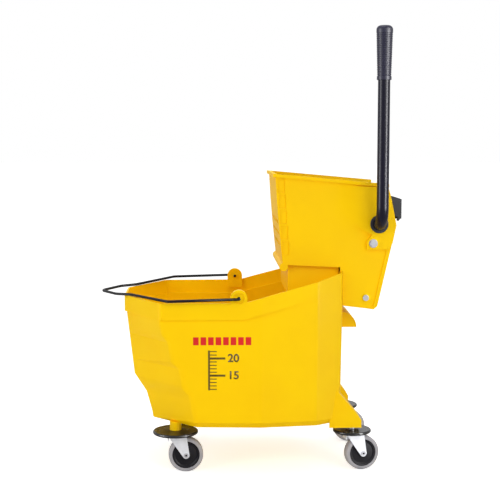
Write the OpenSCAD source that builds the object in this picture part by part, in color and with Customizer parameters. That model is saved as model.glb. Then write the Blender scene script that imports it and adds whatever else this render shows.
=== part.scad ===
// Wheeled mop bucket with a side press wringer.
// +X points to the rear, where the wringer hangs on the tub's back wall.
// -Y is the lever's side, and +Z is up. The wheels stand on z = 0.

/* [Tub] */
// Height of the tub's flat underside above the floor
tub_bottom_z = 107; // [100:1:125]
// Height of the rim above the floor at the front and the ears
rim_z = 378; // [350:1:410]
// Height that the rim climbs from the ears to the back wall
rim_rise = 57; // [40:1:70]
// Length of the tub from the front of its rim to the back wall
tub_len = 467; // [440:1:500]
// Width of the tub across its rim band
rim_w = 398; // [380:2:420]
// Width of the front of the rim between its slanted corners
nose_w = 118; // [90:2:150]
// Thickness of the tub's moulded walls
tub_wall = 4; // [3:0.5:6]
// Height of the band round the rim
band_h = 35; // [24:1:48]
// How far the band stands out from the wall
band_out = 4.5; // [2:0.5:8]
// Amount that each side wall leans in from the rim to the bottom
side_lean = 15; // [8:1:24]
// Height at which the front wall steps in
step_z = 184; // [165:1:200]
// Depth of the step in the front wall
step_depth = 24; // [12:1:30]
// Radius of the bail's ears
ear_r = 17.5; // [14:0.5:22]
// Thickness of each ear
ear_t = 12; // [9:0.5:16]

/* [Bail] */
// Diameter of the bail's wire
wire_d = 6; // [4:0.5:7]
// Distance from the ears to the bail's tip
bail_reach = 297; // [280:1:310]
// Gap between each ear and the bail's leg
bail_side_gap = 9; // [6:0.5:12]

/* [Casters] */
// Diameter of the wheels
wheel_d = 75; // [70:0.5:80]
// Width of the tyres
tyre_w = 21; // [18:0.5:26]
// Thickness of the tyre over the wheel's core
tyre_t = 8; // [5:0.5:11]
// Distance of the wheel's axle behind the swivel's axis
trail = 22; // [18:0.5:26]
// Distance of the front swivel axes behind the front of the rim
caster_setback = 111; // [100:0.5:125]
// Distance between the swivel axes of the front casters
front_track = 230; // [220:2:240]
// Distance between the swivel axes of the rear casters
rear_track = 232; // [210:2:250]
// Diameter of the front bumper discs
front_bumper_d = 98; // [84:1:104]
// Diameter of the rear bumper discs
rear_bumper_d = 83; // [76:1:96]
// Thickness of the bumper discs
bumper_t = 7.5; // [6:0.5:9]
// Diameter of the caster stems
stem_d = 11; // [9:0.5:13]

/* [Wringer] */
// Width of the wringer over its side walls
wringer_w = 264; // [250:2:290]
// Thickness of the wringer's walls
wringer_wall = 4; // [3:0.5:5]
// Height of the wringer's rim above the tub's back rim, at the front
wringer_h = 208; // [190:1:220]
// Length of the wringer's chamber from its front wall to the tub's back wall
chamber_len = 138; // [128:1:150]
// Depth of the rear leg below the tub's back rim
leg_drop = 81; // [60:1:90]
// Width that the wringer's top lip stands out
lip_out = 5; // [3:0.5:8]
// Height of the wringer's top lip
lip_h = 7; // [5:0.5:10]
// Depth of the drain skirt below the floor of the chamber
skirt_drop = 62; // [50:1:70]

/* [Press] */
// Gear module of the pinions and the curved racks
gear_module = 4; // [3.9:0.05:4.1]
// Number of teeth on each pinion
pinion_teeth = 10; // [9:1:11]
// Number of teeth on the racks' full circle
rack_teeth = 90; // [88:1:92]
// Width of each curved rack
rack_w = 12; // [9:0.5:14]
// Width of the press plate
plate_w = 236; // [220:1:240]
// Thickness of the press plate
plate_t = 11; // [8:0.5:12]
// Angle that the lever turns through
lever_turn = 80; // [60:2:84]

/* [Lever] */
// Diameter of the lever's tube
tube_d = 25; // [22:0.5:26]
// Height of the lever's top above the floor
lever_top_z = 946; // [850:1:1000]
// Radius of the bend at the lever's foot
bend_r = 40; // [32:1:46]
// Length of the hand grip
grip_len = 110; // [90:1:130]
// Diameter of the hand grip
grip_d = 34; // [31:0.5:38]

/* [Hidden] */
$fn = 64;

// Clearances
run_gap = 0.08;
seat_gap = 0.3;
press_gap = 0.02;

// Lengthwise places are measured from the outer face of the tub's back wall
back_rim_z = rim_z + rim_rise;
front_x = -tub_len;
ear_x = -221;
fold_x = -173;
rear_corner_x = -55;
rear_caster_x = 26;
front_caster_x = front_x + caster_setback;
half_rim = rim_w / 2;
wall_half = half_rim - band_out;
edge_z = tub_bottom_z + 13;
wall_top_z = rim_z - band_h;

// Bail
wire_r = wire_d / 2;
pin_bore_r = wire_r + run_gap;
ear_z = rim_z + 10;
ear_out_y = half_rim;
bail_y = ear_out_y + bail_side_gap + wire_r;
bail_tip_x = ear_x - bail_reach;

// Casters
wheel_r = wheel_d / 2;
core_r = wheel_r - tyre_t;
axle_r = 4;
fork_gap = 1.5;
fork_t = 2.2;
fork_top_z = wheel_d + 4;
race_z = fork_top_z + fork_t + seat_gap;
race_h = 2.2;
race_r = 23;
bumper_z = race_z + race_h;
post_z = bumper_z + bumper_t;
kingpin_r = 4;
rivet_r = 7;
rivet_h = 2.2;
post_r = stem_d / 2 + 7;
leg_bottom_z = post_z + 8;
stem_reach = 14;
front_stem_z = post_z + stem_reach;
rear_stem_z = leg_bottom_z + stem_reach;
post_top_z = front_stem_z + 5;
fork_half = tyre_w / 2 + fork_gap;
CASTERS = [
    [front_caster_x, -front_track / 2, 3, front_bumper_d / 2, front_stem_z],
    [front_caster_x, front_track / 2, 68, front_bumper_d / 2, front_stem_z],
    [rear_caster_x, -rear_track / 2, 13, rear_bumper_d / 2, rear_stem_z],
    [rear_caster_x, rear_track / 2, 8, rear_bumper_d / 2, rear_stem_z]
];

// Wringer
wr_half = wringer_w / 2;
wr_in = wr_half - wringer_wall;
leg_x = seat_gap + 1.2;
wr_front_x = -chamber_len;
wr_top_z = back_rim_z + wringer_h;
wr_base_z = back_rim_z + seat_gap;
wr_rear_top_z = wr_top_z - 22;
saddle_x = -tub_wall;
floor_rear_x = leg_x + 18;
bead_r = 9;
bead_set = 2;
leg_base_z = back_rim_z - leg_drop;
skirt_half = wr_half - 14;
pad_out = 8;
pad_y = wr_half + pad_out;

// Press gear
axle_x = 51;
axle_z = leg_base_z + 25;
press_rod_r = 4;
pinion_r = gear_module * pinion_teeth / 2;
rack_r = gear_module * rack_teeth / 2;
shaft_reach = rack_r - pinion_r;
shaft_lean = 9.3;
shaft_x = axle_x + shaft_reach * sin(shaft_lean);
shaft_z = axle_z + shaft_reach * cos(shaft_lean);
tooth_top = 0.8 * gear_module;
tooth_root = gear_module;
tooth_tip_w = 0.28 * gear_module;
tooth_mid_w = 0.6 * gear_module;
tooth_root_w = 0.85 * gear_module;
rack_depth = 43;
rack_back_r = rack_r + rack_depth;
rack_pitch = 360 / rack_teeth;
pinion_pitch = 360 / pinion_teeth;
pinion_w = rack_w - 1;
plate_front_x = axle_x - plate_t;
plate_swing = lever_turn * pinion_teeth / rack_teeth;
rack_end = shaft_lean + plate_swing + 1.17 * rack_pitch;
rack_mid_y = plate_w / 2 - 11;
tail_x = axle_x + (rack_r + rack_depth / 2 - 1.5) * sin(rack_end);
plate_top_r = 230;
plate_low_r = 13;
barrel_r = press_rod_r + 5;

// Lever
tube_r = tube_d / 2;
bush_flange_r = tube_r + 6.7;
bush_flange_t = 5;
bush_r = tube_r + 3;
lever_y = -(pad_y + bush_flange_t + bend_r);

// The origin lies under the middle of the object's length
front_end_x = bail_tip_x - wire_r;
rear_end_x = tail_x;
mid_x = (front_end_x + rear_end_x) / 2;

YELLOW = "#f7cc05";
BLACK = "#1b1c22";
STEEL = "#c4c7cb";
GREY = "#a5a5a5";

// ---------------------------------------------------------------- helpers

module centred() translate([-mid_x, 0, 0]) children();

// Solid between y0 and y1 whose side view is the outline of [x, z] points
module side_slab(pts, y0, y1)
    translate([0, y1, 0]) rotate([90, 0, 0]) linear_extrude(y1 - y0) polygon(pts);

// Round bar along Y between y0 and y1
module cross_bar(x, z, r, y0, y1)
    translate([x, y1, z]) rotate([90, 0, 0]) cylinder(r = r, h = y1 - y0);

// Closed outline moved inwards by d on every side, for points in clockwise order
function edge_dir(a, b) = (b - a) / norm(b - a);
function inset(p, d) = [for (i = [0 : len(p) - 1])
    let (n = len(p), a = p[(i + n - 1) % n], b = p[i], c = p[(i + 1) % n],
         u = edge_dir(a, b), v = edge_dir(b, c),
         nu = [u[1], -u[0]], nv = [v[1], -v[0]])
    b + (nu + nv) * d / (1 + nu * nv)];

// Closed outline with each corner rounded to radius r in steps facets
function rounded(p, r, steps) = [for (i = [0 : len(p) - 1])
    let (n = len(p), b = p[i],
         u = edge_dir(p[(i + n - 1) % n], b), v = edge_dir(b, p[(i + 1) % n]),
         nu = [u[1], -u[0]], nv = [v[1], -v[0]],
         o = b + (nu + nv) * r / (1 + nu * nv),
         turn = acos(min(1, u * v)))
    for (k = [0 : steps])
        let (w = k / steps, m = nu * sin(turn * (1 - w)) + nv * sin(turn * w))
        o - m / norm(m) * r];

// Solid through a stack of outlines, each a list of [x, y, z] points
module loft(levels) {
    n = len(levels[0]);
    m = len(levels);
    points = [for (l = levels) for (p = l) p];
    sides = [for (j = [0 : m - 2]) for (i = [0 : n - 1])
        let (a = j * n + i, b = j * n + (i + 1) % n)
        each [[a, b, a + n], [b, b + n, a + n]]];
    low = [for (i = [n - 1 : -1 : 0]) i];
    high = [for (i = [0 : n - 1]) (m - 1) * n + i];
    polyhedron(points = points, faces = concat(sides, [low, high]));
}

// Tube of the given radius along a path of points, with rings that stand upright
module tube(path, r, sides) {
    n = len(path);
    function way(i) = path[min(i + 1, n - 1)] - path[max(i - 1, 0)];
    function across(i) = let (w = way(i)) [-w[1], w[0], 0] / norm([w[0], w[1]]);
    loft_rings([for (i = [0 : n - 1]) [for (k = [0 : sides - 1])
        let (a = 360 * k / sides) path[i] + r * (cos(a) * across(i) + sin(a) * [0, 0, 1])]]);
}

// Solid through a row of rings that run round its path
module loft_rings(rings) {
    n = len(rings[0]);
    m = len(rings);
    sides = [for (j = [0 : m - 2]) for (i = [0 : n - 1])
        let (a = j * n + i, b = j * n + (i + 1) % n)
        each [[a, a + n, b], [b, a + n, b + n]]];
    low = [for (i = [0 : n - 1]) i];
    high = [for (i = [n - 1 : -1 : 0]) (m - 1) * n + i];
    polyhedron(points = [for (l = rings) for (p = l) p], faces = concat(sides, [low, high]));
}

// Open path with each inner corner turned into an arc that starts reach before it
function soft_path(p, reach, steps) = concat([p[0]],
    [for (i = [1 : len(p) - 2])
        let (a = p[i] + reach * edge_dir(p[i], p[i - 1]), b = p[i] + reach * edge_dir(p[i], p[i + 1]))
        for (k = [0 : steps])
            let (w = k / steps) (1 - w) * (1 - w) * a + 2 * w * (1 - w) * p[i] + w * w * b],
    [p[len(p) - 1]]);

// Polygon points of an arc about c from angle a0 to a1
function arc(c, r, a0, a1, steps) = [for (k = [0 : steps])
    let (a = a0 + (a1 - a0) * k / steps) c + r * [cos(a), sin(a)]];

// ---------------------------------------------------------------- tub

// Front wall, corner shoulder and walls at each height, as [z, value] pairs
FRONT = [[tub_bottom_z, step_depth + 36], [edge_z, step_depth + 34],
    [step_z - 20, step_depth + 22], [step_z + 20, 20], [wall_top_z - 5, band_out]];
SHOULDER = [[edge_z, 153], [step_z - 5, 143], [step_z + 10, 129], [step_z + 53, 123],
    [step_z + 68, 108], [step_z + 110, 100.5], [step_z + 125, 88], [wall_top_z - 5, 80]];
LEVELS = [tub_bottom_z, edge_z, step_z - 20, step_z - 5, step_z + 10, step_z + 20,
    step_z + 53, step_z + 68, step_z + 110, step_z + 125, wall_top_z - 5, back_rim_z + 20];

function lean(z) = side_lean * (1 - min(1, max(0, (z - edge_z) / (wall_top_z - edge_z))));
function under(z) = z < edge_z ? 13 : 0;

// Plan outline of the wall's outer face at height z, grown by out at front and sides
function plan(z, out) = let (
    l = lean(z),
    u = under(z),
    fx = front_x + lookup(z, FRONT) - out,
    sx = front_x + lookup(z, SHOULDER) + 0.4 * u,
    bx = -0.1 * l - u * 0.3,
    nose = nose_w / 2 - 2 + 0.4 * l + out,
    sw = wall_half - 2 - 1.4 * l - u + out,
    fw = wall_half - l - u + out,
    rw = wall_half - 7 - 1.55 * l - u + 0.4 * out,
    bw = wall_half - 46 - 1.1 * l - u)
    [[fx, nose], [sx, sw], [fold_x, fw], [rear_corner_x, rw], [bx, bw],
     [bx, -bw], [rear_corner_x, -rw], [fold_x, -fw], [sx, -sw], [fx, -nose]];

function level(z, out, d) = [for (p = rounded(inset(plan(z, out), d), 14 - d, 2)) [p[0], p[1], z]];
BAND_LEVELS = [wall_top_z - 5, back_rim_z + 20];

module tub_outer() loft([for (z = LEVELS) level(z, 0, 0)]);
module tub_inner() loft([for (z = LEVELS)
    [for (p = level(z, 0, tub_wall)) [p[0], p[1], z == tub_bottom_z ? z + tub_wall : z]]]);
module band_outer() loft([for (z = BAND_LEVELS) level(z, band_out, 0)]);
module band_inner() loft([for (z = BAND_LEVELS) level(z, band_out, tub_wall)]);

// Side view of the rim's line, lowered by drop
function rim_line(drop) = [[front_x - 20, rim_z - drop], [ear_x + 10, rim_z - drop],
    [0, back_rim_z - drop], [20, back_rim_z - drop]];
module below_rim() intersection() {
    union() children();
    side_slab(concat(rim_line(0), [[20, 0], [front_x - 20, 0]]), -half_rim - 5, half_rim + 5);
}
module above_line(drop) intersection() {
    children();
    side_slab(concat([[front_x - 20, back_rim_z + 40], [20, back_rim_z + 40]],
        [for (i = [3 : -1 : 0]) rim_line(drop)[i]]), -half_rim - 5, half_rim + 5);
}

module ear(side) {
    y0 = side > 0 ? ear_out_y - ear_t : -ear_out_y;
    cross_bar(ear_x, ear_z, ear_r, y0, y0 + ear_t);
    translate([ear_x - ear_r, y0, rim_z - band_h / 2])
        cube([2 * ear_r, ear_t, ear_z - rim_z + band_h / 2]);
}

module ear_cuts(side) {
    cross_bar(ear_x, ear_z, pin_bore_r, side * ear_out_y - ear_t - 1, side * ear_out_y + ear_t + 1);
    face_y = side * ear_out_y;
    cross_bar(ear_x, ear_z, ear_r - 6, face_y - 3, face_y + 3);
}

// Hollow wedge behind the back wall with a post that carries a rear caster
module rear_leg(side) {
    half = post_r + 15;
    mid = side * rear_track / 2;
    top_z = leg_bottom_z + 82;
    nose_x = rear_caster_x + post_r + 4.5;
    outline = [[-26, leg_bottom_z], [-26, top_z + 4], [-10, top_z], [nose_x - 6, leg_bottom_z + 25],
        [nose_x, leg_bottom_z + 16], [nose_x, leg_bottom_z]];
    hollow = [[-30, leg_bottom_z - 1], [-30, top_z - 15], [-9, top_z - 15],
        [nose_x - 9, leg_bottom_z + 22], [nose_x - 4, leg_bottom_z + 14], [nose_x - 4, leg_bottom_z - 1]];
    difference() {
        side_slab(outline, mid - half, mid + half);
        side_slab(hollow, mid - half + tub_wall, mid + half - tub_wall);
    }
    intersection() {
        side_slab(outline, mid - half, mid + half);
        union() {
            translate([rear_caster_x, mid, leg_bottom_z]) cylinder(r = post_r, h = 60);
            translate([-20, mid - 2, leg_bottom_z + 12]) cube([nose_x + 18, 4, 80]);
        }
    }
}

// Quarter round hood on the back wall, open underneath for the fingers
module tipping_grip() {
    r = 34;
    z0 = back_rim_z - leg_drop - 50;
    half = 62;
    outer = concat([[-5, z0], [-5, z0 + r]], arc([7, z0], r, 90, 0, 10));
    inner = concat([[3, z0 - 1], [3, z0 + r - 4]], arc([7, z0], r - 4, 86, 0, 8),
        [[3 + r, z0 - 1]]);
    difference() {
        side_slab(outer, -half, half);
        side_slab(inner, -half + 4, half - 4);
    }
}

// Post under a front corner that carries a caster
module front_post(c) translate([c[0], c[1], post_z + seat_gap])
    cylinder(r = post_r, h = post_top_z - post_z - seat_gap);

module tub() color(YELLOW) centred() difference() {
    union() {
        difference() {
            union() {
                below_rim() {
                    tub_outer();
                    above_line(band_h) band_outer();
                }
                tipping_grip();
                for (s = [-1, 1]) rear_leg(s);
            }
            tub_inner();
            above_line(band_h - tub_wall) band_inner();
        }
        for (s = [-1, 1]) ear(s);
        for (c = [CASTERS[0], CASTERS[1]]) front_post(c);
    }
    for (c = CASTERS) translate([c[0], c[1], 0]) cylinder(r = stem_d / 2 + press_gap, h = c[4]);
    for (s = [-1, 1]) ear_cuts(s);
}

// ---------------------------------------------------------------- bail

// Half plan of the bail's wire from an ear to the start of its round tip
bail_drop = (ear_z - wire_r - rim_z - seat_gap) / (ear_x - front_x);
nose_r = 26;
nose_turn = 26;
NOSE = arc([nose_r - bail_reach, 0], nose_r, 180 - nose_turn, 180, 3);
HALF_BAIL = [[0, bail_y], [-0.495 * bail_reach, bail_y], [-0.775 * bail_reach, 0.4 * bail_y],
    [-0.888 * bail_reach, 0.31 * bail_y], NOSE[0]];

module bail() color(BLACK) centred() {
    half = concat(soft_path(HALF_BAIL, 7, 4), [NOSE[1], NOSE[2]]);
    n = len(half);
    plan = concat(half, [NOSE[3]], [for (i = [n - 1 : -1 : 0]) [half[i][0], -half[i][1]]]);
    tube([for (p = plan) [ear_x + p[0], p[1], ear_z + p[0] * bail_drop]], wire_r, 12);
    for (s = [-1, 1]) {
        pin_in = s * (ear_out_y - ear_t - 7);
        cross_bar(ear_x, ear_z, wire_r, min(pin_in, s * bail_y), max(pin_in, s * bail_y));
    }
}

// ---------------------------------------------------------------- casters

module at_caster(i, turn) translate([CASTERS[i][0], CASTERS[i][1], 0])
    rotate([0, 0, turn ? CASTERS[i][2] : 0]) children();

// Steel stem with the fixed race under the bumper and the kingpin that carries the fork
module stem(i) color(STEEL) centred() at_caster(i, false) {
    pin_low_z = fork_top_z - seat_gap;
    translate([0, 0, race_z]) cylinder(r = race_r, h = race_h);
    translate([0, 0, race_z]) cylinder(r = stem_d / 2, h = CASTERS[i][4] - race_z - 1);
    translate([0, 0, pin_low_z - 1]) cylinder(r = kingpin_r, h = race_z - pin_low_z + 2);
    translate([0, 0, pin_low_z - rivet_h]) cylinder(r = rivet_r, h = rivet_h);
}

// Black bumper disc with a rounded edge and a raised middle
module bumper(i) color(BLACK) centred() at_caster(i, false)
    translate([0, 0, bumper_z]) rotate_extrude(convexity = 4) {
        r = CASTERS[i][3];
        e = bumper_t / 2 - 0.2;
        hole = stem_d / 2 + press_gap;
        polygon(concat([[hole, 0]], [for (p = arc([r - e, e], e, -90, 80, 8)) p],
            [[r - 12, bumper_t - 1.4], [post_r + 6, bumper_t], [hole, bumper_t]]));
    }

// Side outline of one fork leg, from its top plate to the rounded end at the axle
end_r = 7.4;
fork_front_x = -17;
fork_rear_x = 23;
fork_disc_r = 20;
fork_lip = 9;
function leg_outline() = concat(
    [[fork_front_x, fork_top_z + fork_t]],
    arc([trail, wheel_r], end_r, 215, 358, 10),
    [[fork_rear_x, fork_top_z + fork_t]]);

module fork(i) color(STEEL) centred() at_caster(i, true) difference() {
    union() {
        for (s = [-1, 1])
            side_slab(leg_outline(), s * fork_half + (s > 0 ? 0 : -fork_t),
                s * fork_half + (s > 0 ? fork_t : 0));
        translate([fork_front_x, -fork_half - fork_t, fork_top_z])
            cube([fork_rear_x - fork_front_x, 2 * (fork_half + fork_t), fork_t]);
        translate([0, 0, fork_top_z]) cylinder(r = fork_disc_r, h = fork_t);
        translate([fork_front_x, -fork_half, fork_top_z - fork_lip])
            cube([fork_t, 2 * fork_half, fork_lip + 1]);
    }
    cross_bar(trail, wheel_r, axle_r + press_gap, -fork_half - 9, fork_half + 9);
    translate([0, 0, fork_top_z - 1]) cylinder(r = kingpin_r + run_gap, h = 9);
}

// Axle bolt with its head and lock nut
module axle(i) color(STEEL) centred() at_caster(i, true) {
    out = fork_half + fork_t;
    cross_bar(trail, wheel_r, axle_r, -out - 1, out + 1);
    translate([trail, -out, wheel_r]) rotate([90, 0, 0]) cylinder(r = 5, h = 1.8);
    translate([trail, out, wheel_r]) rotate([-90, 0, 0]) cylinder(r = 6.4, h = 5, $fn = 6);
}

module at_wheel(i) at_caster(i, true) translate([trail, 0, wheel_r]) rotate([90, 0, 0]) children();

// Moulded wheel core with a bored boss, a thin web and a rim
module hub(i) color("#2b2c30") centred() at_wheel(i) rotate_extrude(convexity = 6) {
    b = axle_r + run_gap;
    h = tyre_w / 2;
    polygon([[b, -h - 0.8], [9, -h - 0.8], [10, -h + 2], [core_r - 6, -h + 3.4],
        [core_r - 4, -h + 1.2], [core_r, -h + 0.8], [core_r, h - 0.8], [core_r - 4, h - 1.2],
        [core_r - 6, h - 3.4], [10, h - 2], [9, h + 0.8], [b, h + 0.8]]);
}

module tyre(i) color(GREY) centred() at_wheel(i) rotate_extrude(convexity = 4) {
    h = tyre_w / 2;
    polygon(concat([[core_r + press_gap, -h]], arc([wheel_r - 5, -h + 5], 5, -90, -15, 5),
        [[wheel_r, 0]], arc([wheel_r - 5, h - 5], 5, 15, 90, 5), [[core_r + press_gap, h]]));
}

// ---------------------------------------------------------------- wringer

// Side view of the wringer's walls, clockwise from the top of the front wall
front_foot = [wr_front_x + 12, wr_base_z + 15];
floor_rear = [floor_rear_x, wr_base_z + 13];
FRONT_EDGE = [[wr_front_x - 4, wr_top_z - lip_h], [wr_front_x - 0.5, wr_top_z - 63],
    [wr_front_x + 4, wr_top_z - 116], [wr_front_x + 10, wr_base_z + 32], front_foot];
BOTTOM_EDGE = [[saddle_x, wr_base_z + 9], [saddle_x, wr_base_z], [leg_x, wr_base_z],
    [leg_x, leg_base_z + 8]];
REAR_EDGE = [[leg_x + 66, leg_base_z], [leg_x + 74, leg_base_z + 7], [shaft_x + 29, shaft_z - 41],
    [shaft_x + 37, shaft_z - 3], [shaft_x + 24, shaft_z + 61], [shaft_x + 19, wr_rear_top_z - lip_h]];
SIDE = concat(FRONT_EDGE, BOTTOM_EDGE, REAR_EDGE);

// Height of the chamber floor's underside at x
function floor_under(x) = lookup(x, [front_foot, floor_rear - [0, wringer_wall]]);

// Front wall and chamber floor as one bent strip, with a round bead along its lower edge
module front_and_floor() {
    t = wringer_wall;
    inner = concat([floor_rear, front_foot + [t, t + 1]],
        [for (i = [3 : -1 : 0]) FRONT_EDGE[i] + [t, i == 3 ? 1 : 0]]);
    side_slab(concat(FRONT_EDGE, [floor_rear - [0, t]], inner), -wr_half, wr_half);
    cross_bar(front_foot[0] + bead_set, front_foot[1] - 5, bead_r, -wr_half, wr_half);
}

// Rows of slots that drain the chamber floor into the tub
module floor_slots() for (ix = [0 : 3]) for (iy = [-3 : 3])
    translate([wr_front_x + 36 + 25 * ix, iy * 32 - 9, wr_base_z - 5]) cube([9, 18, 35]);

// Rows of slots low in the front wall
module front_slots() for (iz = [0 : 2]) for (iy = [-2 : 2])
    translate([wr_front_x - 20, iy * 44 - 14, wr_base_z + 52 + 24 * iz]) cube([40, 28, 8]);

// Ladder of pockets down each front corner of the side walls
pocket_pitch = 33;
pocket_w = 15;
pocket_depth = 2.5;
rung_h = 5;
module corner_pockets(side) for (k = [0 : 4]) {
    z = wr_base_z + 36 + pocket_pitch * k;
    x = lookup(z + pocket_pitch / 2, [[wr_base_z, wr_front_x + 14], [wr_top_z, wr_front_x - 1]]);
    y = side > 0 ? wr_half - pocket_depth : -wr_half - 5;
    translate([x, y, z]) cube([pocket_w, pocket_depth + 5, pocket_pitch - rung_h]);
}

// Raised pad round the shaft's bearing, which rises from the wall in a long ramp
pad_ramp = 34;
PAD = [[shaft_x - 24 - pad_ramp, wr_rear_top_z - lip_h + 3], [shaft_x - 24 - pad_ramp, shaft_z],
    [shaft_x - 14, shaft_z - 23], [shaft_x - 25, shaft_z - 36], [shaft_x - 25, shaft_z - 54],
    [shaft_x + 22, shaft_z - 54], REAR_EDGE[2], REAR_EDGE[3], REAR_EDGE[4], REAR_EDGE[5]];
module bearing_pad(side) intersection() {
    side_slab(PAD, side > 0 ? wr_in : -pad_y, side > 0 ? pad_y : -wr_in);
    translate([0, 0, shaft_z - 60]) linear_extrude(200) polygon([
        [shaft_x - 26 - pad_ramp, side * wr_in], [shaft_x - 24 - pad_ramp, side * wr_half],
        [shaft_x - 24, side * pad_y], [shaft_x + 60, side * pad_y], [shaft_x + 60, side * wr_in]]);
}

// Stiffening flange along the rear edge of each side wall
flange_w = 8;
REAR_FLANGE = concat([for (i = [0 : 5]) REAR_EDGE[i]],
    [for (i = [5 : -1 : 1]) REAR_EDGE[i] - [flange_w, 0]], [REAR_EDGE[0] - [flange_w, -1]]);

// Sloping lip round the top of the front and side walls
module top_lip() {
    a = FRONT_EDGE[0] + [-lip_out, lip_h];
    b = REAR_EDGE[5] + [2, lip_h];
    line = [a, b, b - [0, lip_h], a - [0, lip_h]];
    for (s = [-1, 1]) {
        y = s > 0 ? wr_in : -wr_half - lip_out;
        side_slab(line, y, y + wringer_wall + lip_out);
    }
    c = a + [lip_out + wringer_wall, -0.8];
    side_slab([a, c, c - [0, lip_h], a - [0, lip_h]], -wr_half - lip_out, wr_half + lip_out);
}

bolt_x = shaft_x - 12;
bolt_z = shaft_z - 41;
bolt_r = 4;

module wringer_body() color(YELLOW) centred() difference() {
    union() {
        for (s = [-1, 1]) {
            y = s > 0 ? wr_in : -wr_half;
            side_slab(SIDE, y, y + wringer_wall);
            bearing_pad(s);
            side_slab(REAR_FLANGE, s > 0 ? wr_in : -wr_half - 3, s > 0 ? wr_half + 3 : -wr_in);
        }
        front_and_floor();
        top_lip();
        side_slab([[leg_x, leg_base_z + 8], [leg_x, floor_rear[1] - 3],
            [leg_x + wringer_wall, floor_rear[1] - 3], [leg_x + wringer_wall, leg_base_z + 8]],
            -wr_half, wr_half);
        side_slab([[leg_x, leg_base_z + 8], [leg_x, leg_base_z + 12],
            [leg_x + 32, leg_base_z + 8], [leg_x + 32, leg_base_z + 4]], -wr_half, wr_half);
    }
    floor_slots();
    front_slots();
    for (s = [-1, 1]) corner_pockets(s);
    cross_bar(shaft_x, shaft_z, bush_r + press_gap, -pad_y - 1, pad_y + 1);
    cross_bar(axle_x, axle_z, press_rod_r + press_gap, -pad_y, pad_y);
    cross_bar(bolt_x, bolt_z, bolt_r + press_gap, -pad_y - 1, pad_y + 1);
}

// Open box under the chamber that leads the water into the tub
skirt_t = 3;
module skirt_block(x0, x1, half, rise, low) side_slab([[x0, low], [x0, floor_under(x0) + rise],
    [x1, floor_under(x1) + rise], [x1, low]], -half, half);
module drain_skirt() color(YELLOW) centred() difference() {
    x0 = front_foot[0] + bead_set + bead_r;
    x1 = -tub_wall - 1.5;
    low = back_rim_z - skirt_drop + 12;
    skirt_block(x0, x1, skirt_half, -press_gap, low);
    skirt_block(x0 + skirt_t, x1 - skirt_t, skirt_half - skirt_t, 5, low - 1);
}

// Hex bolts, washers and nuts that clamp the bearing pads
module bearing_bolts() color(STEEL) centred() for (s = [-1, 1]) translate([bolt_x, 0, bolt_z])
    rotate([s > 0 ? -90 : 90, 0, 0]) {
        translate([0, 0, wr_in - 8]) cylinder(r = bolt_r, h = pad_y - wr_in + 12);
        translate([0, 0, pad_y]) cylinder(r = 9.2, h = 1.6);
        translate([0, 0, pad_y + 1.6]) cylinder(r = 8, h = 5.4, $fn = 6);
        translate([0, 0, wr_in - 6.6]) cylinder(r = 7.6, h = 6.6, $fn = 6);
    }

// Rod that the press plate swings on
module press_rod() color(STEEL) centred()
    cross_bar(axle_x, axle_z, press_rod_r, -wr_half - 3, wr_half + 3);

module press_rod_caps() color(STEEL) centred() for (s = [-1, 1])
    translate([axle_x, s * wr_half, axle_z]) rotate([s > 0 ? -90 : 90, 0, 0]) difference() {
        cylinder(r = press_rod_r + 2.4, h = 4.5);
        translate([0, 0, -1]) cylinder(r = press_rod_r + press_gap, h = 4.1);
    }

// Flanged bush that the lever's shaft turns in
module shaft_bush(side) color(BLACK) centred() translate([shaft_x, 0, shaft_z])
    rotate([side > 0 ? -90 : 90, 0, 0]) difference() {
        union() {
            translate([0, 0, wr_in - 4]) cylinder(r = bush_r, h = pad_y - wr_in + 5);
            translate([0, 0, pad_y]) cylinder(r = bush_flange_r, h = bush_flange_t - 0.5);
        }
        translate([0, 0, wr_in - 5]) cylinder(r = tube_r + run_gap, h = 40);
    }

// ---------------------------------------------------------------- press plate

module press_plate() color(BLACK) centred() {
    half = plate_w / 2;
    difference() {
        union() {
            translate([plate_front_x, -half, axle_z]) cube([5, plate_w, plate_top_r]);
            cross_bar(axle_x, axle_z, barrel_r, -half, half);
            translate([plate_front_x, -half, axle_z + plate_top_r - 9]) cube([plate_t, plate_w, 9]);
            for (iy = [-3 : 3]) translate([plate_front_x + 4, iy * (half - 3) / 3 - 3, axle_z])
                cube([plate_t - 4, 6, plate_top_r]);
            for (iy = [-5 : 5]) translate([plate_front_x - 2.5, iy * 20 - 2, axle_z + 82])
                cube([3.5, 4, plate_top_r - 96]);
            for (s = [-1, 1])
                translate([plate_front_x, s * rack_mid_y - rack_w / 2 - 2, axle_z + rack_r - 6])
                    cube([plate_t, rack_w + 4, 46]);
        }
        cross_bar(axle_x, axle_z, press_rod_r + run_gap, -half - 1, half + 1);
    }
}

// Curved rack with inner teeth, swung about the press rod
function polar(r, a) = r * [sin(a), cos(a)];
function turn_of(w, r) = w / r * 180 / PI;
module rack(side) color(BLACK) centred() {
    y1 = side * rack_mid_y + rack_w / 2;
    root = rack_r + tooth_root;
    tip = rack_r - tooth_top;
    dr = turn_of(tooth_root_w, root);
    dt = turn_of(tooth_tip_w, tip);
    last = ceil((rack_end - shaft_lean) / rack_pitch);
    teeth = [for (k = [-3 : last]) let (a = shaft_lean + (k + 0.5) * rack_pitch)
        each [polar(root, a - dr), polar(tip, a - dt), polar(tip, a + dt), polar(root, a + dr)]];
    back = [for (k = [0 : 18]) polar(rack_back_r, rack_end + 9 - 2 * k)];
    intersection() {
        translate([axle_x, y1, axle_z]) rotate([90, 0, 0]) linear_extrude(rack_w)
            polygon(concat(teeth, back));
        translate([axle_x, y1 - rack_w - 1, axle_z])
            cube([tail_x - axle_x, rack_w + 2, 2 * rack_back_r]);
    }
}

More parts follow.
